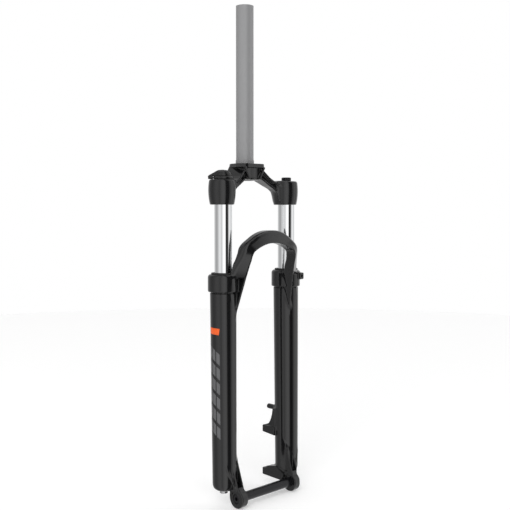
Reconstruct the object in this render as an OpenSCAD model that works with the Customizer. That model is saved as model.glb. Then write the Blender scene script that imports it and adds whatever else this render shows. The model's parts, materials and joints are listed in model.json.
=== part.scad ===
// Bicycle suspension fork, 100 mm travel, coil spring left, hydraulic lockout right.
// Origin: centre of the crown race seat on the steerer axis. +Z up the steerer,
// -Y forwards, +X to the rider's left. Millimetres.

/* [Steerer and crown] */
// Outer diameter of the steerer tube
steerer_d = 28.6; // [28.4:0.1:28.8]
// Bore of the steerer tube
steerer_bore_d = 24.4; // [22:0.2:25]
// Height of the steerer above the crown race seat
steerer_h = 255; // [180:5:300]
// Diameter of the crown race seat
race_d = 30; // [29.8:0.1:30.2]
// Height of the crown race seat
race_h = 6; // [4:0.5:8]
// Distance between the two stanchion axes
leg_spacing = 143; // [140:0.5:146]
// Distance of the stanchion axes in front of the steerer axis
crown_offset = 25.8; // [24:0.1:27]
// Thickness of the crown's top plate
plate_h = 7; // [5:0.5:8]
// Depth of the crown's centre below the race seat
crown_depth = 26.5; // [24:0.5:28]

/* [Stanchions] */
// Outer diameter of the stanchion tubes
stanchion_d = 28; // [27:0.1:28.4]
// Bore of the stanchion tubes
stanchion_bore_d = 24.6; // [24.2:0.1:25]
// Suspension travel
travel = 100; // [80:10:100]

/* [Lower casting] */
// Leg diameter below the collar
leg_top_d = 41.8; // [40:0.2:43]
// Leg diameter at the foot
leg_foot_d = 38; // [37:0.2:40]
// Collar diameter
collar_d = 48; // [47:0.5:50]
// Height of the arch band at its crown
arch_band = 20.4; // [16:0.2:22]
// Diameter of the dropout bosses
boss_d = 31; // [29:0.5:33]

/* [Axle and brake] */
// Axle diameter
axle_d = 15; // [12:1:15]
// Hub width between the dropout faces
hub_w = 110; // [100:10:110]
// Distance of the axle in front of the steerer axis
axle_offset = 48.8; // [44:0.2:51]
// Distance of the axle below the crown race seat
axle_drop = 531.2; // [528:0.2:535]
// Distance between the two brake mount holes
post_spacing = 74.2; // [74:0.1:74.4]
// Preload adjuster travel
preload_travel = 8; // [4:1:8]
// Reach of the lockout lever from its axis
lever_reach = 24; // [21:0.5:28]

/* [Hidden] */
$fn = 64;

// Fits: gap of an assembled pair and gap of a running pair
seat_gap = 0.02;
run_gap = 0.05;

leg_x = leg_spacing / 2;
leg_y = -crown_offset;
stanchion_r = stanchion_d / 2;
bore_r = stanchion_bore_d / 2;

// Heights of the crown's shoulders
shoulder_top = -27.2;
shoulder_bottom = -66.7;
// The shoulders sit a little behind the stanchion axes
shoulder_back = 2.8;
// The arms run from the steerer out to the shoulders, swept forwards
arm_sweep = atan2(crown_offset - shoulder_back, leg_x);

// Heights along the legs
wiper_top = -173.3;
collar_top = -175.5;
collar_bottom = -203.4;
seal_floor = -190;
upper_seat_bottom = -216;
lower_seat_top = -322;
lower_seat_bottom = -350;
leg_floor = -506;
foot_recess = -513;
leg_bottom = -519;
stanchion_top = -31;
stanchion_bottom = -385;
// The stanchions meet the rubber just before the travel ends
bumper_top = stanchion_bottom - travel - 2;
// The bushings are pressed into a bore that is relieved between them
bushing_r = 15.6;
relief_r = 16.4;
seal_r = 17.6;
// The legs lean forwards a little as they narrow
leg_lean = 0.4;

// Spring and preload adjuster
spring_top = -74;
spring_bottom = -344;
wire_r = 1.9;
coil_r = 10;
coil_turns = 22;
seat_h = 8;
rod_r = 5;
guide_top = -362;
guide_bottom = -378;
clip_h = 1.2;
screw_r = 4;
// Spigot that centres the spring, and the screw that still reaches through it at full preload
spigot_h = 8;
screw_bottom = spring_top - spigot_h - preload_travel;

// Damper
damper_r = 11;
damper_bore_r = 10;
damper_top = -52;
damper_bottom = -240;
damper_rod_r = 4;
piston_bottom = -222;
piston_top = -210;
valve_top = -62;
valve_bottom = -74;
shaft_r = 3;

// Dropouts
hub_face = hub_w / 2;
rim_face = hub_face - 1;
boss_outer = hub_face + 11.5;
axle_r = axle_d / 2;
boss_r = boss_d / 2;
post_x = 55;
post_face = 7.5;
post_w = 14;
post_top = -448.3;
post_bottom = post_top - post_spacing;
tap_r = 2.5;

// A closed outline whose corners are arcs. Each corner is [x, y, radius].
function unit(v) = v / norm(v);
function corner_arc(a, b, c, steps) =
    let (
        p = [b[0], b[1]],
        u = unit([a[0], a[1]] - p),
        v = unit([c[0], c[1]] - p),
        half = acos(u * v) / 2,
        reach = b[2] / tan(half),
        centre = p + unit(u + v) * b[2] / sin(half),
        from = p + u * reach - centre,
        to = p + v * reach - centre,
        start = atan2(from[1], from[0]),
        turn = atan2(from[0] * to[1] - from[1] * to[0], from * to)
    )
    [for (i = [0:steps]) centre + b[2] * [cos(start + turn * i / steps), sin(start + turn * i / steps)]];
function rounded(corners, steps = 5) =
    let (n = len(corners))
    [for (i = [0:n - 1])
        each (corners[i][2] > 0
            ? corner_arc(corners[(i + n - 1) % n], corners[i], corners[(i + 1) % n], steps)
            : [[corners[i][0], corners[i][1]]])];

// Both sides, or one: +1 is the rider's left, -1 the rider's right
module on_leg(side) translate([side * leg_x, leg_y, 0]) children();
module mirrored() {
    children();
    mirror([1, 0, 0]) children();
}
module rod_between(r, low, high) translate([0, 0, low]) cylinder(r = r, h = high - low);
module ring_between(r_out, r_in, low, high) {
    difference() {
        rod_between(r_out, low, high);
        rod_between(r_in, low - 1, high + 1);
    }
}
// A solid whose outline in (y, z) is extruded over x
module side_slab(x_from, x_to, corners, steps = 5) {
    translate([x_from, 0, 0])
        rotate([90, 0, 90])
            linear_extrude(x_to - x_from)
                polygon(rounded(corners, steps));
}

/* ---------- steerer and crown ---------- */

// The steerer carries the race seat at its foot, and its end below that is pressed into the crown
press_r = (steerer_d + race_d) / 4;
module steerer_tube() {
    color("darkgray")
        difference() {
            union() {
                rod_between(press_r, -crown_depth + 1, 1);
                rod_between(race_d / 2, 0, race_h);
                rod_between(steerer_d / 2, race_h - 1, steerer_h);
            }
            rod_between(steerer_bore_d / 2, -crown_depth, steerer_h + 1);
        }
}

// The arms and ribs end just above the underside of the centre boss
arm_floor = -crown_depth + 0.8;
plate_corners = [
    [-31, -10, 3], [-19, -25.5, 5], [19, -25.5, 5], [31, -10, 3],
    [24, 10, 5], [14, 18, 6], [-14, 18, 6], [-24, 10, 5]
];
arm_side_corners = [
    [0, -1, 0], [15, -1, 3], [30, -14.5, 6], [44, -28.2, 7], [66, -28.2, 0], [66, -62, 0],
    [58.5, -58, 2], [56, -47.5, 9], [38, -35.5, 12], [24, arm_floor, 8], [0, arm_floor, 0]
];
arm_plan_corners = [
    [0, -16, 0], [27, -15, 12], [42, -11, 12], [72, -10.5, 0],
    [72, 10.5, 0], [44, 11.5, 12], [28, 19, 10], [0, 19, 0]
];
arm_groove_corners = [
    [34, -21.5, 1.5], [45.5, -31.5, 2], [58, -34, 2], [56, -44.5, 5], [38, -32, 8], [31, -26, 1.5]
];

module crown_arm() {
    rotate([0, 0, -arm_sweep]) {
        difference() {
            intersection() {
                rotate([90, 0, 0])
                    translate([0, 0, -30])
                        linear_extrude(60)
                            polygon(rounded(arm_side_corners));
                translate([0, 0, -70])
                    linear_extrude(72)
                        polygon(rounded(arm_plan_corners));
            }
            // shallow channel along the arm's front
            translate([0, -9.2, 0])
                rotate([90, 0, 0])
                    linear_extrude(10)
                        polygon(rounded(arm_groove_corners));
        }
    }
}

shoulder_profile = [
    [0, shoulder_bottom, 0], [18.2, shoulder_bottom, 0], [19, shoulder_bottom + 0.8, 0],
    [21, -55, 25], [21.7, -44, 30], [20.9, -34, 25], [20.2, shoulder_top, 2.2], [0, shoulder_top, 0]
];
module crown_shoulder() {
    translate([leg_x, leg_y + shoulder_back, 0])
        rotate_extrude()
            polygon(rounded(shoulder_profile, 6));
}

// Slanted front ribs of the crown's centre
module crown_rib() {
    translate([0, -12, 0])
        rotate([90, 0, 0])
            linear_extrude(13)
                polygon([[21.5, -6], [25, -6], [14, arm_floor], [10.5, arm_floor]]);
}

module crown() {
    color("#1c1c1e")
        difference() {
            union() {
                translate([0, 0, -plate_h])
                    linear_extrude(plate_h)
                        polygon(rounded(plate_corners));
                rod_between(19.5, -crown_depth, -1);
                mirrored() crown_arm();
                mirrored() crown_shoulder();
                mirrored() crown_rib();
                // front lip that closes the pockets at the bottom
                translate([0, 0, -crown_depth + 0.4])
                    linear_extrude(3)
                        polygon(rounded([[-14, -23.5, 3], [14, -23.5, 3], [20, -5, 2], [-20, -5, 2]]));
            }
            rod_between(press_r + seat_gap, -crown_depth - 1, 1);
            for (side = [-1, 1])
                on_leg(side)
                    rod_between(stanchion_r + seat_gap, shoulder_bottom - 1, shoulder_top + 1);
            // lightening pocket behind the centre
            translate([0, 14, -crown_depth - 1])
                linear_extrude(12)
                    polygon(rounded([[-12, 2.8, 1], [12, 2.8, 1], [9, 9, 2], [-9, 9, 2]]));
        }
}

module stanchion(side) {
    color("gainsboro")
        on_leg(side)
            difference() {
                ring_between(stanchion_r, bore_r, stanchion_bottom, stanchion_top);
                rod_between(bore_r + 0.6, guide_bottom - clip_h, guide_bottom);
            }
}

/* ---------- lower casting ---------- */

// The arch stands in front of the legs. Its outline is given from the front, from the side and
// from above, and the three are intersected.
arch_front_corners = [
    [22, -107.3, 70], [59, -129.5, 14], [77, -180, 14], [79, -208, 30], [71, -252, 0], [63.4, -252, 0],
    [52.2, -182, 0], [49.6, -160, 6], [45.4, -141.2, 7], [18, -107.6 - arch_band, 34],
    [-18, -107.6 - arch_band, 34], [-45.4, -141.2, 7], [-49.6, -160, 6], [-52.2, -182, 0],
    [-63.4, -252, 0], [-71, -252, 0], [-79, -208, 30], [-77, -180, 14], [-59, -129.5, 14], [-22, -107.3, 70]
];
arch_side_corners = [
    [-47.5, -100, 0], [-70, -100, 0], [-70, -144, 12], [-60.3, -178, 20], [-41, -253, 0],
    [-30, -253, 0], [-30, -182, 0], [-47.5, -166, 4]
];
arch_plan_corners = [
    [-84, -30, 0], [-80, -50.5, 3], [-56.5, -71, 8], [56.5, -71, 8], [80, -50.5, 3], [84, -30, 0]
];
module arch() {
    intersection() {
        rotate([90, 0, 0])
            linear_extrude(90)
                polygon(rounded(arch_front_corners, 7));
        side_slab(-90, 90, arch_side_corners, 4);
        translate([0, 0, -260])
            linear_extrude(170)
                polygon(rounded(arch_plan_corners, 4));
    }
}

// The outside of a leg, narrowing to its rounded foot
leg_profile = [
    [0, leg_bottom, 0], [leg_foot_d / 2 - 1, leg_bottom, 9], [leg_foot_d / 2, -490, 0],
    [leg_top_d / 2, collar_bottom, 0], [leg_top_d / 2, collar_bottom + 6, 0], [0, collar_bottom + 6, 0]
];
collar_profile = [
    [0, collar_bottom, 0], [collar_d / 2 - 0.6, collar_bottom, 0], [collar_d / 2, collar_bottom + 0.6, 0],
    [collar_d / 2, collar_top - 3.2, 0], [collar_d / 2 - 3, collar_top, 0], [0, collar_top, 0]
];
module leg_outside() {
    translate([leg_x, leg_y + 0.6, collar_bottom])
        rotate([-leg_lean, 0, 0])
            translate([0, 0, -collar_bottom])
                rotate_extrude()
                    polygon(rounded(leg_profile, 8));
    translate([leg_x, leg_y + 0.9, 0])
        rotate_extrude()
            polygon(rounded(collar_profile));
}

// The pocket between the two ribs under the arch band, cut in front of the leg
module arch_pocket() {
    difference() {
        rotate([90, 0, 0])
            translate([0, 0, 30])
                linear_extrude(40)
                    polygon(rounded([
                        [54.6, -180.5, 0.5], [75, -180.5, 0.5], [76, -202, 1], [73.6, -228, 1],
                        [65.6, -247, 0.5], [59.6, -214, 1]
                    ], 2));
        translate([leg_x, leg_y, 0]) rod_between(collar_d / 2 - 2, collar_bottom - 1, collar_top + 5);
        translate([leg_x, leg_y, 0]) rod_between(leg_top_d / 2 - 1.6, -262, collar_bottom);
    }
}

// Web and boss that carry the axle in front of the leg
dropout_corners = [
    [-26, -456, 0], [-39, -464.5, 4], [-axle_offset - 9, -axle_drop + 11.8, 0],
    [-axle_offset, -axle_drop, 0], [-axle_offset + boss_r - 2, -axle_drop - 6, 0],
    [-31, leg_bottom + 0.5, 3], [-22, leg_bottom + 1, 0]
];
module dropout() {
    difference() {
        union() {
            intersection() {
                side_slab(rim_face + 0.6, 83, dropout_corners);
                // the web's outer side leans in from the leg to the boss
                rotate([90, 0, 0])
                    linear_extrude(80)
                        polygon([
                            [rim_face + 2.2, -440], [82, -440], [81.5, -484], [boss_outer - 0.4, -519],
                            [boss_outer - 0.4, -550], [rim_face + 1.4, -550]
                        ]);
            }
            translate([rim_face, -axle_offset, -axle_drop])
                rotate([0, 90, 0])
                    cylinder(r = boss_r, h = boss_outer - rim_face);
        }
        // two pockets open to the front, either side of a rib
        difference() {
            union() {
                side_slab(57.8, 67.2, [[-36, -468, 0], [-80, -468, 0], [-80, -512, 0], [-38, -512, 2]], 2);
                intersection() {
                    side_slab(70.4, 81, [[-36, -470, 0], [-80, -470, 0], [-80, -508, 0], [-38, -508, 2]], 2);
                    rotate([90, 0, 0])
                        linear_extrude(80)
                            polygon([[70, -440], [79.6, -440], [79.2, -484], [70.6, -507], [70, -510]]);
                }
            }
            translate([leg_x, leg_y - 0.9, -560]) cylinder(r = leg_foot_d / 2 - 0.5, h = 120);
        }
    }
}

// Brake mounts behind the rider's left leg
module brake_mounts() {
    side_slab(post_x - post_w / 2, post_x + post_w / 2, [
        [-20, post_top + 6.1, 0], [post_face, post_top + 6.1, 1], [post_face, post_top - 6.1, 1],
        [-20, post_top - 8.6, 0]
    ]);
    // gusset that runs up the leg from the upper mount
    side_slab(post_x - 2.5, post_x + 3.5, [
        [-22, -414, 0], [-13, -414, 2], [-9, -430, 16], [1.5, post_top + 5, 2], [-22, post_top + 5, 0]
    ], 6);
    side_slab(post_x - post_w / 2, post_x + post_w / 2, [
        [-42, post_bottom + 4, 0], [-24, post_bottom + 15, 0], [-5, post_bottom + 11, 3],
        [3, post_bottom + 6, 2], [post_face, post_bottom + 6, 1], [post_face, post_bottom - 6, 1],
        [-12, post_bottom - 6.8, 0], [-42, post_bottom - 7.6, 0]
    ]);
}

// Small boss behind the left leg for a hose clip, and the lug on the collar
clip_x = 62;
clip_z = -412;
clip_end = 7.5;
lug_z = -185.6;
lug_x = 82.6;
module clip_boss() {
    translate([clip_x, -14, clip_z])
        rotate([-90, 0, 0])
            rotate_extrude()
                polygon(rounded([
                    [0, 0, 0], [4.3, 0, 0], [4.3, clip_end + 14, 2.4], [0, clip_end + 14, 0]
                ], 6));
}
module guide_lug() {
    translate([lug_x, -52, lug_z])
        rotate([-90, 0, 0])
            linear_extrude(14)
                polygon(rounded([
                    [-4.7, -5.6, 1.2], [4.7, -5.6, 1.2], [4.7, 5.6, 1.2], [-4.7, 5.6, 1.2]
                ], 3));
}

module lower_casting() {
    color("#1a1a1c")
        difference() {
            union() {
                difference() {
                    arch();
                    mirrored() arch_pocket();
                }
                mirrored() leg_outside();
                mirrored() dropout();
                brake_mounts();
                clip_boss();
                guide_lug();
            }
            for (side = [-1, 1])
                on_leg(side) {
                    rod_between(bushing_r, leg_floor, seal_floor + 1);
                    rod_between(relief_r, lower_seat_top, upper_seat_bottom);
                    rod_between(seal_r, seal_floor, collar_top + 1);
                    // the arch is cut back around the wiper
                    rod_between(20, collar_top - 0.1, -160);
                }
            // bores for the foot bolts and the recesses for their heads
            for (side = [-1, 1])
                on_leg(side) {
                    rod_between(4.2, leg_bottom - 1, leg_floor + 1);
                    rod_between(8.4, leg_bottom - 1, foot_recess);
                }
            // axle bore and the shallow seats for the hub's end caps
            translate([-boss_outer - 1, -axle_offset, -axle_drop])
                rotate([0, 90, 0])
                    cylinder(r = axle_r + run_gap, h = 2 * boss_outer + 2);
            translate([-hub_face, -axle_offset, -axle_drop])
                rotate([0, 90, 0])
                    cylinder(r = 11.5, h = hub_w);
            // the seats are open downwards, so that the hub drops in from below
            translate([-hub_face + 0.1, -axle_offset - 11.3, -axle_drop - boss_r - 5])
                cube([hub_w - 0.2, 22.6, boss_r + 5]);
            // tapped holes of the brake mounts
            for (z = [post_top, post_bottom])
                translate([post_x, post_face - 15, z])
                    rotate([-90, 0, 0])
                        cylinder(r = tap_r, h = 16);
            translate([clip_x, clip_end - 9, clip_z])
                rotate([-90, 0, 0])
                    cylinder(r = 2.1, h = 10);
            translate([lug_x, -53, lug_z])
                rotate([-90, 0, 0])
                    cylinder(r = 2.1, h = 9);
        }
}

/* ---------- seals and bushings ---------- */

module wiper_seal(side) {
    color("#0c0c0c")
        on_leg(side)
            rotate_extrude()
                polygon([
                    [stanchion_r + run_gap, wiper_top + 0.4], [stanchion_r + 0.6, wiper_top],
                    [19.3 - 0.5, wiper_top], [19.3, wiper_top - 0.5], [19.3, collar_top + seat_gap],
                    [seal_r - seat_gap, collar_top + seat_gap], [seal_r - seat_gap, -183],
                    [15.4, -183], [15.4, -178], [stanchion_r + run_gap, -175.6]
                ]);
}
module foam_ring(side) {
    color("#6b6f3a")
        on_leg(side) ring_between(seal_r - 0.1, stanchion_r + 0.1, seal_floor + 0.1, -183.1);
}
module bushing(side, low, high) {
    color("silver")
        on_leg(side) ring_between(bushing_r - seat_gap, stanchion_r + run_gap, low, high);
}

/* ---------- spring leg, rider's left ---------- */

module preload_cap() {
    color("#1c1c1e")
        on_leg(1)
            difference() {
                union() {
                    rod_between(bore_r - seat_gap, -50, stanchion_top + 1);
                    rod_between(stanchion_r - seat_gap, stanchion_top + seat_gap, shoulder_top);
                }
                rod_between(screw_r + run_gap, -51, shoulder_top + 1);
            }
}
knob_r = 8;
knob_bottom = -26.9;
knob_top = -21;
knob_flutes = 10;
module preload_knob() {
    color("#1c1c1e")
        on_leg(1)
            difference() {
                rotate_extrude()
                    polygon([
                        [0, knob_bottom], [knob_r - 0.4, knob_bottom], [knob_r, knob_bottom + 0.4],
                        [knob_r, knob_top - 1], [knob_r - 1, knob_top], [0, knob_top]
                    ]);
                rod_between(screw_r + seat_gap, knob_bottom - 1, knob_top - 2);
                for (i = [0:knob_flutes - 1])
                    rotate([0, 0, i * 360 / knob_flutes])
                        translate([knob_r + 1, 0, 0])
                            rod_between(2, knob_bottom + 1.2, knob_top + 1);
                // slot for a coin
                translate([-5, -0.8, knob_top - 1.2]) cube([10, 1.6, 2]);
            }
}
module preload_screw() {
    color("silver")
        on_leg(1) {
            rod_between(screw_r, screw_bottom, knob_top - 2);
            rod_between(6.5, -53, -50 - run_gap);
        }
}
module preload_plunger() {
    color("dimgray")
        on_leg(1)
            difference() {
                union() {
                    rod_between(bore_r - run_gap, spring_top, spring_top + 12);
                    rod_between(coil_r - wire_r - 0.4, spring_top - spigot_h, spring_top + 1);
                }
                rod_between(screw_r + run_gap, spring_top - spigot_h - 1, spring_top + 13);
            }
}

// Closed helix of round wire
coil_sides = 6;
coil_segments = 16;
spring_gap = 0.05;
module coil_spring() {
    height = spring_top - spring_bottom - 2 * wire_r - 2 * spring_gap;
    count = coil_turns * coil_segments;
    rings = [for (i = [0:count])
        let (
            a = 360 * i / coil_segments,
            z = spring_bottom + wire_r + spring_gap + height * i / count
        )
        [for (j = [0:coil_sides - 1])
            let (b = 360 * j / coil_sides, r = coil_r + wire_r * cos(b))
            [r * cos(a), r * sin(a), z + wire_r * sin(b)]]];
    n = coil_sides;
    color("lightslategray")
        on_leg(1)
            polyhedron(
                points = [for (r = rings) each r],
                faces = concat(
                    [[for (j = [0:n - 1]) j]],
                    [for (i = [0:count - 1]) for (j = [0:n - 1])
                        let (k = (j + 1) % n)
                        each [[i * n + j, (i + 1) * n + j, (i + 1) * n + k],
                              [i * n + j, (i + 1) * n + k, i * n + k]]],
                    [[for (j = [n - 1:-1:0]) count * n + j]]
                )
            );
}
module spring_seat() {
    color("dimgray")
        on_leg(1)
            difference() {
                union() {
                    rod_between(bore_r - 0.3, spring_bottom - seat_h, spring_bottom);
                    rod_between(coil_r - wire_r - 0.4, spring_bottom - 1, spring_bottom + spigot_h);
                }
                rod_between(rod_r + seat_gap, spring_bottom - seat_h - 1, spring_bottom + 4);
            }
}
module spring_rod() {
    color("silver")
        on_leg(1)
            difference() {
                rod_between(rod_r, leg_floor + seat_gap, spring_bottom + 3.9);
                rod_between(4 + seat_gap, leg_floor - 1, -488);
            }
}

/* ---------- parts that both legs share ---------- */

module rod_guide(side, r) {
    color("ivory")
        on_leg(side) ring_between(bore_r - seat_gap, r + run_gap, guide_bottom, guide_top);
}
module circlip(side) {
    color("dimgray")
        on_leg(side)
            difference() {
                ring_between(bore_r + 0.5, bore_r - 1.6, guide_bottom - clip_h + 0.05, guide_bottom - 0.05);
                translate([0, -1.5, guide_bottom - 5]) cube([20, 3, 6]);
            }
}
module bumper(side, r_out, r_in, low, high) {
    color("darkorange")
        on_leg(side)
            difference() {
                rod_between(r_out, low, high);
                rod_between(r_in, low - 1, high + 1);
                // waist that lets the rubber bulge
                translate([0, 0, (low + high) / 2])
                    rotate_extrude()
                        translate([r_out + 1, 0])
                            circle(r = 2);
            }
}
module foot_bolt(side) {
    color("silver")
        on_leg(side)
            difference() {
                union() {
                    rod_between(4, foot_recess - 2, -490);
                    rotate_extrude()
                        polygon([
                            [0, -525], [5.7, -525], [6.5, -524.2],
                            [6.5, foot_recess - 1.2], [0, foot_recess - 1.2]
                        ]);
                }
                translate([0, 0, -526]) cylinder(d = 5.8, h = 5, $fn = 6);
            }
}
module foot_washer(side) {
    color("peru")
        on_leg(side) ring_between(8, 4.1, foot_recess - 1.15, foot_recess - 0.05);
}

/* ---------- damper leg, rider's right ---------- */

cap_flange_r = 16;
module lockout_cap() {
    color("#1c1c1e")
        on_leg(-1)
            difference() {
                union() {
                    rod_between(damper_bore_r - seat_gap, -60, -49);
                    rod_between(bore_r - seat_gap, -50, stanchion_top + 1);
                    rod_between(stanchion_r - seat_gap, stanchion_top + seat_gap, shoulder_top + 1);
                    rotate_extrude()
                        polygon([
                            [0, -26.6], [cap_flange_r - 0.5, -26.6], [cap_flange_r, -26.1],
                            [cap_flange_r, -23.6], [cap_flange_r - 1, -22.6], [0, -22.6]
                        ]);
                }
                rod_between(shaft_r + run_gap, -61, -20);
            }
}
// Dial with a drooping finger lever, pointing outwards and rearwards when open
lever_angle = 135;
lever_profile = [
    [0, -22.45, 0], [13.6, -22.45, 0.5], [13, -18.5, 3], [8.6, -13, 4], [0, -12.4, 0]
];
module lockout_lever() {
    color("#1c1c1e")
        on_leg(-1)
            difference() {
                union() {
                    rotate_extrude()
                        polygon(rounded(lever_profile, 4));
                    intersection() {
                        rotate([0, 0, lever_angle])
                            rotate([90, 0, 0])
                                translate([0, 0, -8])
                                    linear_extrude(16)
                                        polygon(rounded([
                                            [0, -13.4, 0], [8.5, -13.8, 4], [lever_reach - 2, -20.4, 2],
                                            [lever_reach, -21.8, 1], [lever_reach - 0.4, -26.3, 1.2],
                                            [18.6, -26.1, 1], [17.2, -22.4, 0], [0, -22.4, 0]
                                        ], 4));
                        rotate([0, 0, lever_angle])
                            translate([0, 0, -30])
                                linear_extrude(20)
                                    polygon(rounded([
                                        [0, -7, 0], [12, -7, 3], [lever_reach, -4.6, 3.5],
                                        [lever_reach, 4.6, 3.5], [12, 7, 3], [0, 7, 0]
                                    ], 5));
                    }
                }
                rod_between(shaft_r + seat_gap, -23, -18.4);
                rod_between(2.5 + seat_gap, -19, -12);
            }
}
module lockout_screw() {
    color("silver")
        on_leg(-1)
            difference() {
                rod_between(2.5, -18.2, -12.9);
                translate([0, 0, -14.6]) cylinder(d = 2.9, h = 3, $fn = 6);
            }
}
module lockout_shaft() {
    color("silver")
        on_leg(-1)
            rod_between(shaft_r, valve_bottom - 3, -18.5);
}
port_r = 1.6;
module ports(r, low, high, count) {
    for (i = [0:count - 1])
        rotate([0, 0, 45 + i * 360 / count])
            translate([r, 0, 0])
                rod_between(port_r, low - 1, high + 1);
}
module valve_body() {
    color("goldenrod")
        on_leg(-1)
            difference() {
                rod_between(damper_bore_r - seat_gap, valve_bottom, valve_top);
                rod_between(shaft_r + run_gap, valve_bottom - 1, valve_top + 1);
                ports(6.2, valve_bottom, valve_top, 4);
            }
}
module valve_disc() {
    color("silver")
        on_leg(-1)
            difference() {
                rod_between(8.6, valve_bottom - 2.8, valve_bottom - run_gap);
                rod_between(shaft_r + seat_gap, valve_bottom - 4, valve_bottom + 1);
                ports(6.2, valve_bottom - 3, valve_bottom, 4);
            }
}
module damper_tube() {
    color("silver")
        on_leg(-1) ring_between(damper_r, damper_bore_r, damper_bottom, damper_top);
}
module seal_head() {
    color("#1c1c1e")
        on_leg(-1)
            ring_between(damper_bore_r - seat_gap, damper_rod_r + run_gap,
                         damper_bottom, damper_bottom + 14);
}
module damper_rod() {
    color("silver")
        on_leg(-1)
            difference() {
                union() {
                    rod_between(damper_rod_r, -480, -204);
                    rod_between(6.5, leg_floor + seat_gap, -479);
                }
                rod_between(4 + seat_gap, leg_floor - 1, -488);
            }
}
module damper_piston() {
    color("goldenrod")
        on_leg(-1)
            difference() {
                rod_between(damper_bore_r - run_gap, piston_bottom, piston_top);
                rod_between(damper_rod_r + seat_gap, piston_bottom - 1, piston_top + 1);
                ports(7, piston_bottom, piston_top, 4);
            }
}
module piston_nut() {
    color("dimgray")
        on_leg(-1)
            difference() {
                translate([0, 0, piston_top + 0.05]) cylinder(d = 11, h = 5, $fn = 6);
                rod_between(damper_rod_r + seat_gap, piston_top - 1, piston_top + 7);
            }
}

/* ---------- thru axle ---------- */

axle_start = -boss_outer + 0.5;
axle_end = boss_outer - 1.5;
ring_x = axle_start + 5;
module along_axle() {
    translate([0, -axle_offset, -axle_drop])
        rotate([0, 90, 0])
            children();
}
module thru_axle() {
    color("#1c1c1e")
        along_axle()
            difference() {
                rotate_extrude()
                    polygon([
                        [0, axle_start], [axle_r - 0.8, axle_start], [axle_r, axle_start + 0.8],
                        [axle_r, ring_x - 0.7], [axle_r - 1.1, ring_x - 0.7],
                        [axle_r - 1.1, ring_x + 0.7], [axle_r, ring_x + 0.7],
                        [axle_r, axle_end - 1], [axle_r - 1, axle_end], [0, axle_end]
                    ]);
                translate([0, 0, axle_start - 1]) cylinder(d = 6.9, h = 13, $fn = 6);
                rod_between(5, axle_start + 15, axle_end + 1);
            }
}
module axle_oring() {
    color("black")
        along_axle()
            translate([0, 0, ring_x])
                rotate_extrude()
                    translate([axle_r - 0.55, 0])
                        circle(r = 0.5, $fn = 24);
}

steerer_tube();
crown();
stanchion(1);  // stanchion_left
stanchion(-1);  // stanchion_right
lower_casting();
wiper_seal(1);  // wiper_seal_left
wiper_seal(-1);  // wiper_seal_right
foam_ring(1);  // foam_ring_left
foam_ring(-1);  // foam_ring_right
bushing(1, upper_seat_bottom, seal_floor - 0.2);  // upper_bushing_left
bushing(-1, upper_seat_bottom, seal_floor - 0.2);  // upper_bushing_right
bushing(1, lower_seat_bottom, lower_seat_top);  // lower_bushing_left
bushing(-1, lower_seat_bottom, lower_seat_top);  // lower_bushing_right
preload_knob();
preload_screw();
preload_cap();
preload_plunger();
coil_spring();
spring_seat();
spring_rod();
rod_guide(1, rod_r);  // rod_guide_left
rod_guide(-1, damper_rod_r);  // rod_guide_right
circlip(1);  // circlip_left
circlip(-1);  // circlip_right
bumper(1, 9.5, rod_r + 0.2, -361.9, -352.1);  // top_out_bumper_left
bumper(-1, 8, 4.2, -225.9, -222.1);  // top_out_bumper_right
bumper(1, 12, 5.3, leg_floor + 0.1, bumper_top);  // bottom_out_bumper_left
bumper(-1, 12, 6.7, leg_floor + 0.1, bumper_top);  // bottom_out_bumper_right
foot_bolt(1);  // foot_bolt_left
foot_bolt(-1);  // foot_bolt_right
foot_washer(1);  // foot_washer_left
foot_washer(-1);  // foot_washer_right
lockout_cap();
lockout_lever();
lockout_screw();
lockout_shaft();
valve_body();
valve_disc();
damper_tube();
seal_head();
damper_rod();
damper_piston();
piston_nut();
thru_axle();
axle_oring();
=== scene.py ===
import json
import math

import bpy
import numpy as np
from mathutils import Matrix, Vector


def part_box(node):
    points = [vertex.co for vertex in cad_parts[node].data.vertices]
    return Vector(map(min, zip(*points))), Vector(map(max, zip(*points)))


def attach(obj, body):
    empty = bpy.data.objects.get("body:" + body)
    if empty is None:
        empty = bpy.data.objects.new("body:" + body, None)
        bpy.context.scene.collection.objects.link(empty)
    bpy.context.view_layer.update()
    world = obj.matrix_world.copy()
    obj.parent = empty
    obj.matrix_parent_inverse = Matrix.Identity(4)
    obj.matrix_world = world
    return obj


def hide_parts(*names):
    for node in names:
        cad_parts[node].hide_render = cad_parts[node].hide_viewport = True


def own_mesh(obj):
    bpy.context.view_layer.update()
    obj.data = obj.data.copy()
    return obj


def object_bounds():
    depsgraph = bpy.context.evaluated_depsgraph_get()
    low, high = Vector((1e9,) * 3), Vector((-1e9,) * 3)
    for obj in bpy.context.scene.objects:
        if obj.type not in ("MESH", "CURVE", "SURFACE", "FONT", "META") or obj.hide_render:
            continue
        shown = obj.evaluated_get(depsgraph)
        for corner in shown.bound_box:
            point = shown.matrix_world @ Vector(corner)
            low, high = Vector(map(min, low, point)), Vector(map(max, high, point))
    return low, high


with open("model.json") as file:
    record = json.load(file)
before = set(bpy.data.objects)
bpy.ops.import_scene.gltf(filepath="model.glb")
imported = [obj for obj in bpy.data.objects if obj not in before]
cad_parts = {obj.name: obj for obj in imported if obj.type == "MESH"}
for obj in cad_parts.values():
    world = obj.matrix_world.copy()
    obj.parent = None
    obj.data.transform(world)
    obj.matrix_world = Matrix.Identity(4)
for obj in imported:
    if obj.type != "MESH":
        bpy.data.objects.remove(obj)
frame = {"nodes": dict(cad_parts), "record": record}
cad_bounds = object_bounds()
# shapes are given in millimetres, and the scene is in metres
MM = 0.001

# ---------------------------------------------------------------- camera, floor, light

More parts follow.
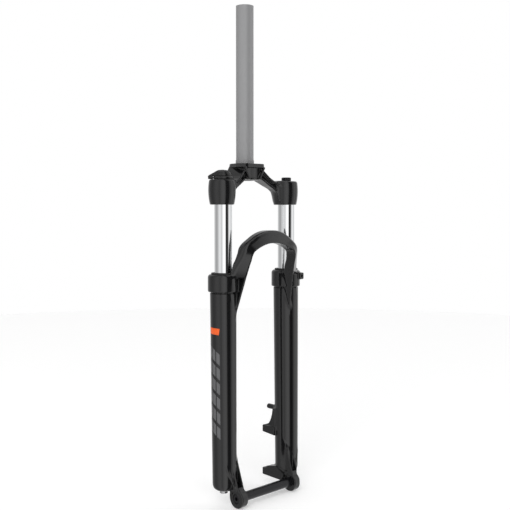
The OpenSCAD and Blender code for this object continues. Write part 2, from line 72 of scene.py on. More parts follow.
scene = bpy.context.scene
camera = bpy.data.objects.new("camera", bpy.data.cameras.new("camera"))
scene.collection.objects.link(camera)
camera.location = (-0.96845, -1.01043, -0.07081)
camera.rotation_euler = (math.radians(86.788), 0, math.radians(-44.466))
camera.data.lens = 59.98
camera.data.sensor_width = 36
scene.camera = camera
scene.view_settings.view_transform = "Standard"


def nodes_of(tree):
    tree.nodes.clear()
    return tree.nodes, tree.links


def studio():
    """White surroundings with a few soft dark gaps between the light panels."""
    world = bpy.data.worlds.new("studio")
    scene.world = world
    world.use_nodes = True
    nodes, links = nodes_of(world.node_tree)
    coords = nodes.new("ShaderNodeTexCoord")
    split = nodes.new("ShaderNodeSeparateXYZ")
    links.new(coords.outputs["Generated"], split.inputs[0])
    turn = nodes.new("ShaderNodeMath")
    turn.operation = "ARCTAN2"
    links.new(split.outputs["Y"], turn.inputs[0])
    links.new(split.outputs["X"], turn.inputs[1])
    share = nodes.new("ShaderNodeMapRange")
    share.inputs["From Min"].default_value = -math.pi
    share.inputs["From Max"].default_value = math.pi
    links.new(turn.outputs[0], share.inputs["Value"])
    ramp = nodes.new("ShaderNodeValToRGB")
    ramp.color_ramp.interpolation = "EASE"
    # direction in degrees from +X, and the brightness there
    stops = [(-180, .85), (-168, .8), (-153, .62), (-138, 1), (-122, 1.2), (-108, 1.05), (-98, .02),
             (-73, .02), (-62, .6), (-40, .95), (-30, .9), (-20, .5), (-10, .8), (20, 1), (60, .65),
             (85, .65), (116, .42), (136, .38), (152, .5), (167, .72), (180, .85)]
    points = ramp.color_ramp.elements
    while len(points) < len(stops):
        points.new(0.5)
    for point, (angle, level) in zip(points, stops):
        point.position = (angle + 180) / 360
        point.color = (level, level, level, 1)
    links.new(share.outputs[0], ramp.inputs[0])
    light = nodes.new("ShaderNodeBackground")
    links.new(ramp.outputs[0], light.inputs["Color"])
    plain = nodes.new("ShaderNodeBackground")
    plain.inputs["Color"].default_value = (1, 1, 1, 1)
    ray = nodes.new("ShaderNodeLightPath")
    mix = nodes.new("ShaderNodeMixShader")
    links.new(ray.outputs["Is Camera Ray"], mix.inputs[0])
    links.new(light.outputs[0], mix.inputs[1])
    links.new(plain.outputs[0], mix.inputs[2])
    out = nodes.new("ShaderNodeOutputWorld")
    links.new(mix.outputs[0], out.inputs[0])


def area_light(name, place, size, power):
    lamp = bpy.data.lights.new(name, "AREA")
    lamp.energy = power
    lamp.size = size
    thing = bpy.data.objects.new(name, lamp)
    thing.location = place
    thing.visible_glossy = False
    aim = np.array([0, 0, -0.25]) - np.array(place)
    thing.rotation_euler = (math.atan2(math.hypot(aim[0], aim[1]), -aim[2]), 0,
                            math.atan2(aim[1], aim[0]) - math.pi / 2)
    scene.collection.objects.link(thing)


studio()
area_light("key", (-1.9, -1.2, 1.6), 1.2, 18)

# ---------------------------------------------------------------- materials


def material(name, color, metallic=0.0, roughness=0.4, vary=0.08, grain=0.0, grain_scale=900,
             wave=0.0, wave_scale=60, wear=None, stretch=(1, 1, 1), specular=0.5):
    """Procedural finish: colour and roughness drift, fine grain, soft waviness and worn edges.
    Scales are per metre."""
    m = bpy.data.materials.new(name)
    m.use_nodes = True
    nodes, links = nodes_of(m.node_tree)
    out = nodes.new("ShaderNodeOutputMaterial")
    skin = nodes.new("ShaderNodeBsdfPrincipled")
    links.new(skin.outputs[0], out.inputs[0])
    skin.inputs["Metallic"].default_value = metallic
    skin.inputs["Specular IOR Level"].default_value = specular
    coords = nodes.new("ShaderNodeTexCoord")
    place = nodes.new("ShaderNodeMapping")
    place.inputs["Scale"].default_value = stretch
    links.new(coords.outputs["Object"], place.inputs["Vector"])

    def noise(scale, detail, vector=place):
        n = nodes.new("ShaderNodeTexNoise")
        n.inputs["Scale"].default_value = scale
        n.inputs["Detail"].default_value = detail
        links.new(vector.outputs["Vector" if vector is place else "Object"], n.inputs["Vector"])
        return n

    def spread(source, low, high):
        r = nodes.new("ShaderNodeMapRange")
        r.inputs["From Min"].default_value = 0.3
        r.inputs["From Max"].default_value = 0.7
        r.inputs["To Min"].default_value = low
        r.inputs["To Max"].default_value = high
        links.new(source, r.inputs["Value"])
        return r

    drift = noise(38, 4, coords)
    fine = noise(420, 3)
    tone = nodes.new("ShaderNodeMix")
    tone.data_type = "RGBA"
    tone.inputs["A"].default_value = (*[c * (1 - vary) for c in color], 1)
    tone.inputs["B"].default_value = (*[min(c * (1 + vary), 1) for c in color], 1)
    links.new(drift.outputs["Fac"], tone.inputs["Factor"])
    colour_out = tone.outputs["Result"]
    rough = spread(fine.outputs["Fac"], roughness * 0.85, roughness * 1.15)
    if wear:
        edge = nodes.new("ShaderNodeNewGeometry")
        pick = nodes.new("ShaderNodeMapRange")
        pick.inputs["From Min"].default_value = 0.56
        pick.inputs["From Max"].default_value = 0.70
        links.new(edge.outputs["Pointiness"], pick.inputs["Value"])
        broken = nodes.new("ShaderNodeMath")
        broken.operation = "MULTIPLY"
        links.new(pick.outputs[0], broken.inputs[0])
        links.new(spread(noise(160, 5, coords).outputs["Fac"], 0, 0.7).outputs[0], broken.inputs[1])
        worn = nodes.new("ShaderNodeMix")
        worn.data_type = "RGBA"
        links.new(broken.outputs[0], worn.inputs["Factor"])
        links.new(colour_out, worn.inputs["A"])
        worn.inputs["B"].default_value = (*wear, 1)
        colour_out = worn.outputs["Result"]
    links.new(colour_out, skin.inputs["Base Color"])
    links.new(rough.outputs[0], skin.inputs["Roughness"])
    normal = None
    for size, scale, distance, vector in ((wave, wave_scale, 0.0006, coords),
                                          (grain, grain_scale, 0.00008, place)):
        if size:
            bump = nodes.new("ShaderNodeBump")
            bump.inputs["Strength"].default_value = size
            bump.inputs["Distance"].default_value = distance
            links.new(noise(scale, 4, vector).outputs["Fac"], bump.inputs["Height"])
            if normal:
                links.new(normal, bump.inputs["Normal"])
            normal = bump.outputs[0]
    if normal:
        links.new(normal, skin.inputs["Normal"])
    return m


finish = {
    "steerer_alloy": material("steerer_alloy", (.34, .34, .345), 0.35, 0.5, .04, grain=.12,
                              grain_scale=2600),
    "black_paint": material("black_paint", (.0075, .0075, .008), 0, .13, .1, grain=.004,
                            grain_scale=1500, wave=.012, wave_scale=70, wear=(.03, .03, .032),
                            specular=.62),
    "stanchion_chrome": material("stanchion_chrome", (.90, .91, .92), 1, .06, .02, grain=.05,
                                 grain_scale=700, stretch=(1, 1, 14)),
    "black_anodised": material("black_anodised", (.016, .016, .018), .4, .24, .1, grain=.02,
                               grain_scale=1800),
    "black_plastic": material("black_plastic", (.010, .010, .010), 0, .24, .15, grain=.03,
                              grain_scale=2200),
    "dark_plastic": material("dark_plastic", (.08, .08, .085), 0, .5, .1, grain=.2),
    "guide_plastic": material("guide_plastic", (.72, .69, .60), 0, .45, .06, grain=.15),
    "spring_steel": material("spring_steel", (.20, .22, .26), .6, .35, .12, grain=.15),
    "steel": material("steel", (.52, .52, .53), 1, .28, .08, grain=.1),
    "plain_alloy": material("plain_alloy", (.62, .62, .63), 1, .32, .05, grain=.15,
                            stretch=(1, 1, 10)),
    "brass": material("brass", (.70, .50, .22), 1, .3, .08, grain=.1),
    "bushing_bronze": material("bushing_bronze", (.36, .31, .24), .8, .5, .1, grain=.25),
    "black_rubber": material("black_rubber", (.012, .012, .012), 0, .55, .15, grain=.2),
    "orange_rubber": material("orange_rubber", (.62, .19, .02), 0, .5, .08, grain=.2),
    "foam": material("foam", (.20, .21, .08), 0, .95, .2, grain=1, grain_scale=1400),
}
tag_orange = material("tag_orange", (.90, .12, .01), 0, .35, .04, grain=.05)
stripe_grey = material("stripe_grey", (.12, .12, .125), 0, .22, .05, grain=.01)


def floor_finish():
    """Matt white that glows a little. The paint mirrors the panels of the studio and not the floor."""
    m = material("floor_white", (.90, .90, .90), 0, .8, .01)
    nodes, links = m.node_tree.nodes, m.node_tree.links
    skin = nodes["Principled BSDF"]
    skin.inputs["Emission Color"].default_value = (1, 1, 1, 1)
    skin.inputs["Emission Strength"].default_value = 0.34
    skin.inputs["Specular IOR Level"].default_value = 0.1
    clear = nodes.new("ShaderNodeBsdfTransparent")
    ray = nodes.new("ShaderNodeLightPath")
    mix = nodes.new("ShaderNodeMixShader")
    links.new(ray.outputs["Is Glossy Ray"], mix.inputs[0])
    links.new(skin.outputs[0], mix.inputs[1])
    links.new(clear.outputs[0], mix.inputs[2])
    links.new(mix.outputs[0], nodes["Material Output"].inputs["Surface"])
    return m


floor_white = floor_finish()

slot_of = {s["node"]: s["material_slot"] for s in frame["record"]["subparts"]}
for node, thing in frame["nodes"].items():
    thing.data.materials.clear()
    thing.data.materials.append(finish[slot_of[node]])


def mesh_piece(name, points, faces, body, slot, paint=None, normals=None, node=None):
    """A new piece from points in millimetres."""
    mesh = bpy.data.meshes.new(name)
    mesh.from_pydata((np.asarray(points, float) * MM).tolist(), [], np.asarray(faces).tolist()
                     if isinstance(faces, np.ndarray) else faces)
    mesh.update()
    mesh.polygons.foreach_set("use_smooth", [True] * len(mesh.polygons))
    if normals is not None:
        mesh.normals_split_custom_set_from_vertices(normals.tolist())
    mesh.materials.append(paint or finish[slot])
    piece = bpy.data.objects.new(name, mesh)
    scene.collection.objects.link(piece)
    if body:
        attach(piece, body)
    if node:
        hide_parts(node)
    return piece


# ---------------------------------------------------------------- cast shapes as distance fields


def smax(a, b, k):
    """The larger of two distances, blended over k: cuts or trims with a rounded edge."""
    h = np.maximum(k - np.abs(a - b), 0) / k
    return np.maximum(a, b) + h * h * k * 0.25


def smin(a, b, k):
    """The smaller of two distances, blended over k: joins with a fillet."""
    return -smax(-a, -b, k)


def along(u, v, line):
    """Distance to an open line of points in a plane."""
    best = np.full(u.shape, 1e9, np.float32)
    for (ax, ay), (bx, by) in zip(line[:-1], line[1:]):
        ex, ey = bx - ax, by - ay
        wx, wy = u - ax, v - ay
        t = np.clip((wx * ex + wy * ey) / (ex * ex + ey * ey), 0, 1)
        best = np.minimum(best, (wx - ex * t) ** 2 + (wy - ey * t) ** 2)
    return np.sqrt(best)


def inside(u, v, outline):
    """Whether points of a plane are inside a closed outline."""
    odd = np.zeros(u.shape, bool)
    for (ax, ay), (bx, by) in zip(outline, outline[1:] + outline[:1]):
        if ay != by:
            odd ^= ((ay > v) != (by > v)) & (u < (bx - ax) * (v - ay) / (by - ay) + ax)
    return odd


def poly(u, v, outline):
    """Signed distance to a closed outline."""
    outline = [tuple(p) for p in outline]
    d = along(u, v, outline + outline[:1])
    return np.where(inside(u, v, outline), -d, d)


def smooth(points, steps=4):
    """A Catmull-Rom line through the points."""
    p = np.array([points[0], *points, points[-1]], float)
    out = []
    for i in range(1, len(p) - 2):
        for s in range(steps):
            t = s / steps
            out.append(0.5 * (2 * p[i] + (p[i + 1] - p[i - 1]) * t
                              + (2 * p[i - 1] - 5 * p[i] + 4 * p[i + 1] - p[i + 2]) * t * t
                              + (3 * p[i] - p[i - 1] - 3 * p[i + 1] + p[i + 2]) * t ** 3))
    return [tuple(q) for q in out] + [tuple(p[-2])]


def only_near(p, low, high, margin, shape):
    """shape(x, y, z) near its box, and at least the margin everywhere else."""
    keep = np.all((p > np.array(low) - margin) & (p < np.array(high) + margin), axis=1)
    d = np.full(len(p), float(margin))
    if keep.any():
        d[keep] = shape(*p[keep].T)
    return d


def skin_of(shape, xs, ys, zs):
    """Points, normals and quads of the surface where shape is 0, on a grid of the given lines."""
    # grid lines in a tile, extra reach for tiles kept, tiles worked out at once, and the far distance
    step, margin, batch, far_off = 8, 2.5, 400, 50
    lines = [np.asarray(a, float) for a in (xs, ys, zs)]
    size = [len(a) for a in lines]
    starts = [np.arange(0, n, step) for n in size]
    low = [a[s] for a, s in zip(lines, starts)]
    high = [a[np.minimum(s + step, n - 1)] for a, s, n in zip(lines, starts, size)]
    mid = [(a + b) / 2 for a, b in zip(low, high)]
    half = [(b - a) / 2 for a, b in zip(low, high)]
    centre = np.stack(np.meshgrid(*mid, indexing="ij"), -1).reshape(-1, 3)
    reach = np.stack(np.meshgrid(*half, indexing="ij"), -1).reshape(-1, 3)
    there = shape(centre)
    near = np.abs(there) < np.linalg.norm(reach, axis=1) + margin
    field = np.empty(size, np.float32)
    counts = [len(s) for s in starts]
    tiles = []
    for b in range(len(centre)):
        i, rest = divmod(b, counts[1] * counts[2])
        j, k = divmod(rest, counts[2])
        cut = tuple(slice(s[q], min(s[q] + step, n)) for s, q, n in zip(starts, (i, j, k), size))
        if near[b]:
            tiles.append(cut)
        else:
            field[cut] = far_off if there[b] > 0 else -far_off
    for first in range(0, len(tiles), batch):
        group = tiles[first:first + batch]
        clouds = [np.stack(np.meshgrid(*[a[c] for a, c in zip(lines, cut)], indexing="ij"), -1)
                  for cut in group]
        values = shape(np.concatenate([c.reshape(-1, 3) for c in clouds]))
        at = 0
        for cut, cloud in zip(group, clouds):
            count = cloud.size // 3
            field[cut] = values[at:at + count].reshape(cloud.shape[:3])
            at += count
    cells, spots, quads = [], [], []
    stride = np.array([size[1] * size[2], size[2], 1])
    for a in range(3):
        b, c = (a + 1) % 3, (a + 2) % 3
        first = np.take(field, range(size[a] - 1), a)
        second = np.take(field, range(1, size[a]), a)
        index = np.argwhere((first < 0) != (second < 0))
        d0, d1 = first[tuple(index.T)], second[tuple(index.T)]
        t = d0 / (d0 - d1)
        spot = np.stack([lines[q][index[:, q]] for q in range(3)], 1)
        spot[:, a] += t * (lines[a][index[:, a] + 1] - lines[a][index[:, a]])
        flat = index @ stride
        ring = [flat - stride[b] - stride[c], flat - stride[c], flat, flat - stride[b]]
        quad = np.stack(ring, 1)
        quads.append(np.where((d0 < 0)[:, None], quad, quad[:, ::-1]))
        cells += ring
        spots += [spot] * 4
    cells = np.concatenate(cells)
    spots = np.concatenate(spots)
    ids, back = np.unique(cells, return_inverse=True)
    count = np.bincount(back)
    points = np.stack([np.bincount(back, spots[:, q]) / count for q in range(3)], 1)
    faces = np.searchsorted(ids, np.concatenate(quads))
    # move each point onto the surface, by at most 0.6 mm a step
    for _ in range(5):
        value, slope = shape(points), gradient(shape, points)
        move = slope * (value / np.maximum((slope ** 2).sum(1), 0.2))[:, None]
        far = np.linalg.norm(move, axis=1)
        points -= move * np.minimum(1, 0.6 / np.maximum(far, 1e-9))[:, None]
    normals = gradient(shape, points)
    normals /= np.maximum(np.linalg.norm(normals, axis=1), 1e-9)[:, None]
    return points, normals, faces


def gradient(shape, points, h=0.12):
    """Slope of the distance at each point."""
    out = np.empty_like(points)
    for q in range(3):
        shift = np.zeros(3)
        shift[q] = h
        out[:, q] = (shape(points + shift) - shape(points - shift)) / (2 * h)
    return out


# ---------------------------------------------------------------- lower casting

# both legs are shaped at once: x is given as its distance from the middle
LEG_X, STANCHION_Y = 71.5, -25.8
COLLAR_TOP, COLLAR_BOTTOM, LEG_BOTTOM = -175.5, -203.4, -519
AXLE_Y, AXLE_Z = -48.8, -531.2


def leg_centre(z):
    """The leg's y at a height: it leans forwards slightly towards the axle."""
    return -25.2 + 0.0082 * (z - COLLAR_BOTTOM)


def leg_radius(z):
    """The leg narrows slightly towards the axle."""
    return 20.9 + 0.0052 * (z - COLLAR_BOTTOM)


def leg_shape(ax, y, z):
    r = np.hypot(ax - LEG_X, y - leg_centre(z))
    leg = smax(smax(r - leg_radius(z), LEG_BOTTOM - z, 11), z + 190, 1)
    # a fine groove where the leg leaves the collar
    leg = smax(leg, -np.maximum(np.abs(z + 204.4) - 0.9, 19.7 - r), 0.5)
    r = np.hypot(ax - LEG_X, y + 24.9)
    collar = smax(smax(r - 24, z - COLLAR_TOP, 3.5), COLLAR_BOTTOM - z, 2.6)
    collar = smax(collar, (r + z - (21.8 + COLLAR_TOP)) * 0.707, 2.4)
    return smin(leg, collar, 0.8)


# Across the arch, from its crown to its foot: the outer edge and the inner edge in (x, z),
# the front of each, and the back
ARCH = [
    (-16, -108.6, -12, -128.4, -70, -68.4, -48), (0, -107.4, 0, -127.8, -70, -68.6, -48),
    (16, -108.6, 12, -128.4, -70, -68.4, -48), (32, -113.9, 25, -131.6, -70, -67, -48),
    (45, -121.2, 36, -136, -70, -65.4, -48), (54.4, -127, 43.8, -140.6, -70, -63.6, -48),
    (61, -133.8, 47.8, -146.8, -69.6, -62.4, -48), (64, -142.6, 49, -153, -68.6, -60.4, -48),
    (68, -153.8, 50, -162, -65.2, -55.2, -46.4), (73.4, -168, 51.2, -173, -61.8, -49.6, -40),
    (77, -181, 52.4, -182, -59.2, -46.4, -37), (78.2, -192, 53.8, -194, -56, -44.6, -37),
    (79, -206, 55.8, -208, -52.4, -43.5, -38), (77, -226, 58.4, -227, -47.6, -40.6, -36),
    (71, -251, 63.2, -251, -41.6, -38, -34),
]
OUTER = smooth([(s[0], s[1]) for s in ARCH])
INNER = smooth([(s[2], s[3]) for s in ARCH])
POCKET = [(54.9, -180.8), (74.8, -180.8), (75.8, -202), (73.4, -228), (65.6, -246), (59.8, -214)]


def arch_shape(x, y, z):
    ax = np.abs(x)
    out = along(ax, z, OUTER)
    inn = along(ax, z, INNER)
    closed = OUTER + INNER[::-1]
    band = np.where(inside(ax, z, closed), -1, 1) * np.minimum(out, inn)
    share = out / np.maximum(out + inn, 1e-6)
    # from the foot up to the crown, with heights that rise
    upwards = list(zip(*ARCH[:0:-1]))
    front_in = np.interp(z, upwards[3], upwards[4])
    front_out = np.interp(z, upwards[1], upwards[5])
    back = np.interp(z, upwards[1], upwards[6])
    front = front_out + (front_in - front_out) * share
    arch = smax(band, (front - y) * 0.88, 2.6 + 5 * (1 - share))
    arch = smax(arch, (y - back) * 0.95, 3.4)
    return smax(arch, -poly(ax, z, POCKET), 0.9)


# the web from the leg down to the axle's boss, in (y, z)
DROPOUT = [(-26, -455), (-35.5, -460), (-40, -468), (-57.4, -519), (-62.6, -525), (-48.8, -533),
           (-36, -534), (-31, -518.6), (-22, -517)]


def dropout_shape(x, y, z):
    ax = np.abs(x)
    side = np.interp(z, [-550, -519, -484, -440], [66.1, 66.1, 81.4, 82])
    web = smax(smax(poly(y, z, DROPOUT), 55.4 - ax, 1.2), (ax - side) * 0.92, 2.4)
    # two pockets, with a rib between them
    first = np.maximum(np.abs(ax - 62.5) - 4.7, np.abs(z + 490) - 22)
    edge = np.interp(z, [-508, -484, -440], [70.9, 79, 79.4])
    second = np.maximum(np.maximum(70.4 - ax, (ax - edge) * 0.92), np.abs(z + 489) - 19)
    keep = leg_radius(z) - 0.4 - np.hypot(ax - LEG_X, y - leg_centre(z))
    web = smax(web, -np.maximum(np.minimum(first, second), keep), 1)
    boss = np.hypot(y - AXLE_Y, z - AXLE_Z) - 15.4
    boss = smax(smax(boss, 54 - ax, 1.4), ax - 66.5, 2)
    return smin(web, boss, 2.5)


def mount_shape(x, y, z):
    """Brake posts, gusset, clip boss and hose lug on the rider's left."""
    upper = poly(y, z, [(-20, -442.4), (7.4, -442.4), (7.4, -454.2), (-20, -456.8)])
    upper = smax(upper, np.abs(x - 55) - 7, 1.4)
    gusset = poly(y, z, [(-22, -412), (-12, -412), (-10.4, -422), (-7.6, -431), (-3.4, -438),
                         (3, -443), (-22, -446)])
    gusset = smax(gusset, np.abs(x - 55.5) - 3, 1.6)
    lower = poly(y, z, [(-42, -518.6), (-24, -507.6), (-5, -511.5), (2, -516), (7.4, -516.6),
                        (7.4, -528.4), (-12, -529.2), (-42, -530)])
    lower = smax(lower, np.abs(x - 55) - 7, 1.4)
    post = smin(smin(upper, gusset, 4), lower, 1)
    clip = smax(np.hypot(x - 62, z + 412) - 4.3, y - 7.4, 2.6)
    clip = np.maximum(clip, -16 - y)
    lug = smax(smax(np.abs(x - 82.6) - 4.7, np.abs(z + 185.6) - 5.6, 2), np.abs(y + 45) - 7, 1)
    return smin(smin(post, clip, 3), lug, 1)


def casting(p):
    """The whole lower casting, with its bores and taps."""
    x, y, z = p.T
    ax = np.abs(x)
    d = leg_shape(ax, y, z)
    arch = only_near(p, (-80, -71, -252), (80, -33, -107), 9, arch_shape)
    d = smin(d, arch, 3)
    d = smin(d, only_near(p, (-82, -65, -547), (82, -22, -455), 9, dropout_shape), 2.5)
    d = smin(d, only_near(p, (48, -52, -532), (88, 8, -180), 9, mount_shape), 3.5)
    r = np.hypot(ax - LEG_X, y - STANCHION_Y)
    bore = np.maximum(r - 15.6, -506 - z)
    seat = np.maximum(r - 17.6, -190 - z)
    foot = np.minimum(np.maximum(r - 8.4, z + 513), np.maximum(r - 4.2, z + 500))
    wiper = np.maximum(r - 20, COLLAR_TOP + 0.1 - z)
    # the stanchion's bore, the wiper's seat, the bolt's hole and the space around the wiper
    d = smax(d, -np.minimum(np.minimum(bore, seat), np.minimum(foot, wiper)), 0.7)
    r = np.hypot(y - AXLE_Y, z - AXLE_Z)
    slot = np.maximum(np.abs(y - AXLE_Y) - 11.3, z - AXLE_Z)
    # the axle's bore, and the hub's seat that opens downwards
    d = smax(d, -np.minimum(r - 7.55, np.maximum(np.minimum(r - 11.5, slot), ax - 54.95)), 0.7)
    tap = np.hypot(x - 55, np.minimum(np.abs(z + 448.3), np.abs(z + 522.5))) - 2.5
    tap = np.maximum(tap, -10 - y)
    clip = np.maximum(np.hypot(x - 62, z + 412) - 2.1, -1.5 - y)
    lug = np.maximum(np.hypot(x - 82.6, z + 185.6) - 2.1, y + 44)
    pin = np.maximum(np.hypot(y + 40.5, z + 523.5) - 1.3, 60 - np.abs(x))
    return smax(d, -np.minimum(np.minimum(tap, clip), np.minimum(lug, pin)), 0.5)


# the plain stretch of the legs needs fewer points
fine, coarse = 1.1, 5.0
points, normals, faces = skin_of(
    casting, np.arange(-97.5, 97.6, fine), np.arange(-73.5, 10, fine),
    np.concatenate([np.arange(-549, -402, fine), np.arange(-402, -258, coarse),
                    np.arange(-258, -104, fine)]))
mesh_piece("casting_skin", points, faces, "lowers", "black_paint", normals=normals, node="lower_casting")

# ---------------------------------------------------------------- crown

# each arm is drawn along its own line, from the steerer out and forwards to the shoulder:
# its side in (along, z), its plan in (along, across), the groove in its front and the rib above that
SWEEP = math.atan2(24.2, LEG_X)
ARM_SIDE = [(0, -1), (13, -1), (17, -2), (22, -6.6), (29, -13.5), (36, -20.5), (41, -25),
            (46, -27.9), (52, -28.4), (72, -28.4), (72, -62), (58.8, -60), (57, -54), (53, -45.8),
            (47, -40.4), (38, -35.2), (30, -29.8), (24, -26), (0, -26)]
ARM_PLAN = [(0, -15.5), (18, -15.4), (30, -14.2), (40, -12), (52, -10.6), (76, -10.4), (76, 10.4),
            (52, 11), (42, 12.2), (34, 15), (28, 18.4), (22, 19), (0, 19)]
ARM_GROOVE = [(20.5, -9), (24, -12), (30, -18.5), (37, -25.5), (44, -30.8), (56, -32.6),
              (55, -43.4), (49, -38), (38, -31.2), (29, -25), (22, -22.5)]
FLANGE = [(21, -14.4, -6.6), (29, -13.4, -13.2), (40, -11.6, -23), (52, -11.4, -31), (60, -11.2, -36.5)]
# outline of the top plate, in (x, y)
PLATE = [(-29.5, -11), (-27.5, -16), (-21, -23.6), (-17, -25.3), (17, -25.3), (21, -23.6),
         (27.5, -16), (29.5, -11), (24.5, 8), (22, 13), (16, 17.4), (11, 17.9), (-11, 17.9),
         (-16, 17.4), (-22, 13), (-24.5, 8)]


def bead(u, v, w, line, radius):
    """Distance to a round bead along a line of points."""
    best = np.full(u.shape, 1e9)
    for a, b in zip(line[:-1], line[1:]):
        e = np.subtract(b, a)
        q = (u - a[0], v - a[1], w - a[2])
        t = np.clip((q[0] * e[0] + q[1] * e[1] + q[2] * e[2]) / (e @ e), 0, 1)
        best = np.minimum(best, sum((q[i] - e[i] * t) ** 2 for i in range(3)))
    return np.sqrt(best) - radius


def crown_shape(p):
    """The crown: arms, shoulders, the steerer's boss, ribs and the top plate."""
    x, y, z = p.T
    ax = np.abs(x)
    u = ax * math.cos(SWEEP) - y * math.sin(SWEEP)
    v = ax * math.sin(SWEEP) + y * math.cos(SWEEP)
    arm = smax(poly(u, z, ARM_SIDE), poly(u, v, ARM_PLAN), 1.8)
    groove = smax(poly(u, z, ARM_GROOVE), v + 10, 1.2)
    arm = smax(arm, -groove, 1.2)
    arm = smin(arm, bead(u, v, z, FLANGE, 1.1), 1.6)
    r = np.hypot(ax - LEG_X, y + 23)
    side = 21.6 - np.where(z < -44, 2.6 * ((z + 44) / 22.7) ** 2, 1.4 * ((z + 44) / 16.8) ** 2)
    shoulder = smax(smax((r - side) * 0.97, z + 27.2, 3.4), -66.7 - z, 1.6)
    d = smin(arm, shoulder, 4.5)
    middle = np.hypot(x, y)
    boss = smax(smax(middle - 19.4, -26.4 - z, 1.5), z + 1, 1)
    d = smin(d, boss, 3.5)
    lean = ax - (21.6 + (z + 6) * 0.52)
    rib = smax(smax(np.abs(lean) * 0.88 - 1.7, np.abs(y + 16.4) - 8.4, 1.4), np.abs(z + 15.6) - 10, 1)
    d = smin(d, rib, 1.6)
    lip = smax(smax(middle - 23.6, np.abs(z + 24.7) - 1.4, 1.2), np.maximum(y + 4, ax - 15), 2)
    d = smin(d, lip, 1.2)
    plate = smax(smax(poly(x, y, PLATE), z, 1.3), -6.6 - z, 1.3)
    d = smin(d, plate, 1.5)
    pocket = smax(poly(x, y, [(-12, 16.5), (12, 16.5), (9, 23.2), (-9, 23.2)]), z + 15, 1)
    d = smax(d, -pocket, 1)
    d = smax(d, -(middle - 14.67), 0.5)
    return smax(d, -(np.hypot(ax - LEG_X, y - STANCHION_Y) - 14.03), 0.6)


points, normals, faces = skin_of(
    crown_shape, np.arange(-94, 94.1, 0.9), np.arange(-49, 22, 0.9), np.arange(-69, 8.2, 0.9))
mesh_piece("crown_skin", points, faces, "crown_assembly", "black_paint", normals=normals, node="crown")

# ---------------------------------------------------------------- lockout lever

# outlines of the lever's side and of its dome, before they grow by a rounded edge
EDGE = 0.9
LEVER_SIDE = [(0, -14.2), (7.8, -14.5), (11.6, -15.9), (20.9, -20.9), (22.9, -22.4), (22.7, -26),
              (17.1, -26), (17.05, -21.55), (0, -21.55)]
DOME = [(-14, -21.55), (12.6, -21.55), (12.2, -19.4), (10.6, -16.2), (7.8, -14.2), (4, -13.5),
        (0, -13.4), (-14, -13.4)]


def lever_shape(p):
    """The lockout lever, which points outwards and rearwards at rest: u runs along it, w across."""
    x, y, z = p.T
    a, b = x + LEG_X, y - STANCHION_Y
    diagonal = 0.7071
    u, w = (b - a) * diagonal, (a + b) * diagonal
    r = np.hypot(a, b)
    grip = smax(poly(u, z, LEVER_SIDE) - EDGE, (np.abs(w) - 6.8 + 0.1 * u) * 0.98, 2.4)
    d = smin(grip, poly(r, z, DOME) - EDGE, 2.5)
    d = smax(d, -np.maximum(r - 3.02, z + 18.4), 0.4)
    return smax(d, -np.maximum(r - 2.6, -19 - z), 0.5)


points, normals, faces = skin_of(
    lever_shape, np.arange(-96, -56, 0.6), np.arange(-41, -2, 0.6), np.arange(-28, -10.6, 0.6))
mesh_piece("lever_skin", points, faces, "lockout", "black_plastic", normals=normals, node="lockout_lever")

# ---------------------------------------------------------------- decals, plain shapes with no lettering


def decal(name, bars, side, slot, paint):
    """Thin closed patches on a leg. Each bar is four corners in (angle from outwards, z)."""
    points, faces = [], []
    across, down, underside, face_lift = 12, 6, 0.02, 0.14
    for corners in bars:
        a, b, c, d = [np.array(q, float) for q in corners]
        start = len(points)
        for lift in (underside, face_lift):
            for i in range(down + 1):
                for j in range(across + 1):
                    s, t = j / across, i / down
                    q = (a * (1 - s) + b * s) * (1 - t) + (d * (1 - s) + c * s) * t
                    angle = math.radians(q[0])
                    r = leg_radius(q[1]) + lift
                    points.append((side * (LEG_X + r * math.cos(angle)),
                                   leg_centre(q[1]) + r * math.sin(angle), q[1]))
        n = across + 1
        top = start + n * (down + 1)

        def face(*corner):
            faces.append(list(corner))

        for i in range(down):
            for j in range(across):
                k = i * n + j
                face(top + k, top + k + n, top + k + n + 1, top + k + 1)
                face(start + k, start + k + 1, start + k + n + 1, start + k + n)
        rim = (list(range(n)) + [i * n + across for i in range(1, down + 1)]
               + [down * n + j for j in range(across - 1, -1, -1)]
               + [i * n for i in range(down - 1, 0, -1)])
        for p, q in zip(rim, rim[1:] + rim[:1]):
            face(start + p, top + p, top + q, start + q)
    if side < 0:
        faces = [f[::-1] for f in faces]
    return mesh_piece(name, points, faces, "lowers", slot, paint)


tag = [[(-31, -259.4), (31, -258.2), (31, -268.2), (-27, -269.4)]]
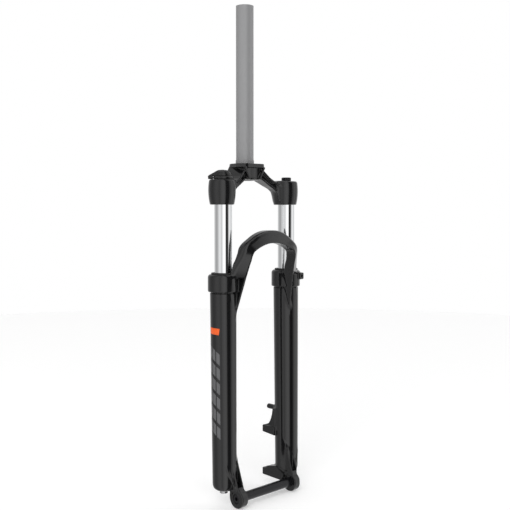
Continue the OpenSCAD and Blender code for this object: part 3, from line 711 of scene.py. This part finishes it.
# six rows of three slanted bars
first_row, row_pitch, bar_height, slant = -292, 23.4, 17.6, 0.26
bars = []
for i in range(6):
    top = first_row - i * row_pitch
    for low, high in ((-30, -13), (-8, 9), (14, 30)):
        bars.append([(low, top + low * slant), (high, top + high * slant),
                     (high, top - bar_height + high * slant), (low, top - bar_height + low * slant)])
for word, side in (("right", -1), ("left", 1)):
    decal("tag_" + word, tag, side, "black_paint", tag_orange)
    decal("bars_" + word, bars, side, "black_paint", stripe_grey)

# ---------------------------------------------------------------- spring

low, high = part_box("coil_spring")
centre = (low + high) / 2
# radius of the wire and of the coil, turns, and the facets around the wire and in a turn
wire, mean, turns, sides, segments = 1.9, 10.0, 22, 12, 32
round_wire = wire * 0.99
points, faces = [], []
rise = (high.z - low.z) / MM - 2 * wire
count = turns * segments
for i in range(count + 1):
    angle = 2 * math.pi * i / segments
    z = low.z / MM + wire + rise * i / count
    for j in range(sides):
        b = 2 * math.pi * j / sides
        r = mean + round_wire * math.cos(b)
        points.append((centre.x / MM + r * math.cos(angle), centre.y / MM + r * math.sin(angle),
                       z + round_wire * math.sin(b)))
for i in range(count):
    for j in range(sides):
        k = (j + 1) % sides
        faces.append([i * sides + j, (i + 1) * sides + j, (i + 1) * sides + k, i * sides + k])
faces.append(list(range(sides)))
faces.append([count * sides + j for j in range(sides - 1, -1, -1)])
coil = mesh_piece("coil_wire", points, faces, "crown_assembly", "spring_steel", node="coil_spring")
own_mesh(coil)

# ---------------------------------------------------------------- floor

ground = cad_bounds[0][2] / MM
reach, depth, sides = 2600, 20, 96
ring = [(reach * math.cos(a), reach * math.sin(a)) for a in np.linspace(0, 2 * math.pi, sides + 1)[:-1]]
points = [(x, y, ground) for x, y in ring] + [(x, y, ground - depth) for x, y in ring]
faces = [list(range(sides)), [2 * sides - 1 - i for i in range(sides)]]
faces += [[i, sides + i, sides + (i + 1) % sides, (i + 1) % sides] for i in range(sides)]
floor = mesh_piece("floor", points, faces, None, None, floor_white)
floor.data.polygons.foreach_set("use_smooth", [False] * len(floor.data.polygons))
